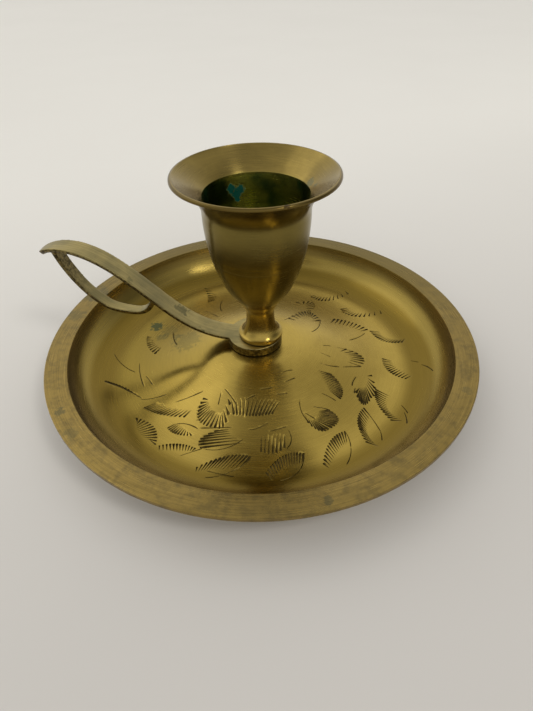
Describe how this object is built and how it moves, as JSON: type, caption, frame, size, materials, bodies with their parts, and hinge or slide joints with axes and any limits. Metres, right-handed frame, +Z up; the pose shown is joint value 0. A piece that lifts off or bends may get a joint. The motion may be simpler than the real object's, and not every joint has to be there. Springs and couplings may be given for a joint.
{
  "type": "chamber candlestick",
  "caption": "Saucer candlestick with a flared candle cup on a raised centre, coved drip tray, flat brim and a curved finger-loop handle.",
  "frame": {"origin": "centre of the tray's round outline, in the plane the tray stands on", "axes": "+Z up along the candle cup's axis; the handle runs along -X; the object is symmetric about the XZ plane"},
  "size_m": [0.114, 0.114, 0.0552],
  "materials": {
    "tray_brass": "turned and brushed, engraved, light brown tarnish",
    "handle_brass": "as-cast, linished top, dull brown-grey tarnish",
    "cup_brass": "turned, dark olive tarnish, verdigris in the socket",
    "fastener_brass": "turned, dull"
  },
  "bodies": {
    "root": {"drip_tray": "tray_brass", "handle": "handle_brass", "candle_cup": "cup_brass", "clamp_screw": "fastener_brass", "washer": "fastener_brass"}
  },
  "joints": []
}
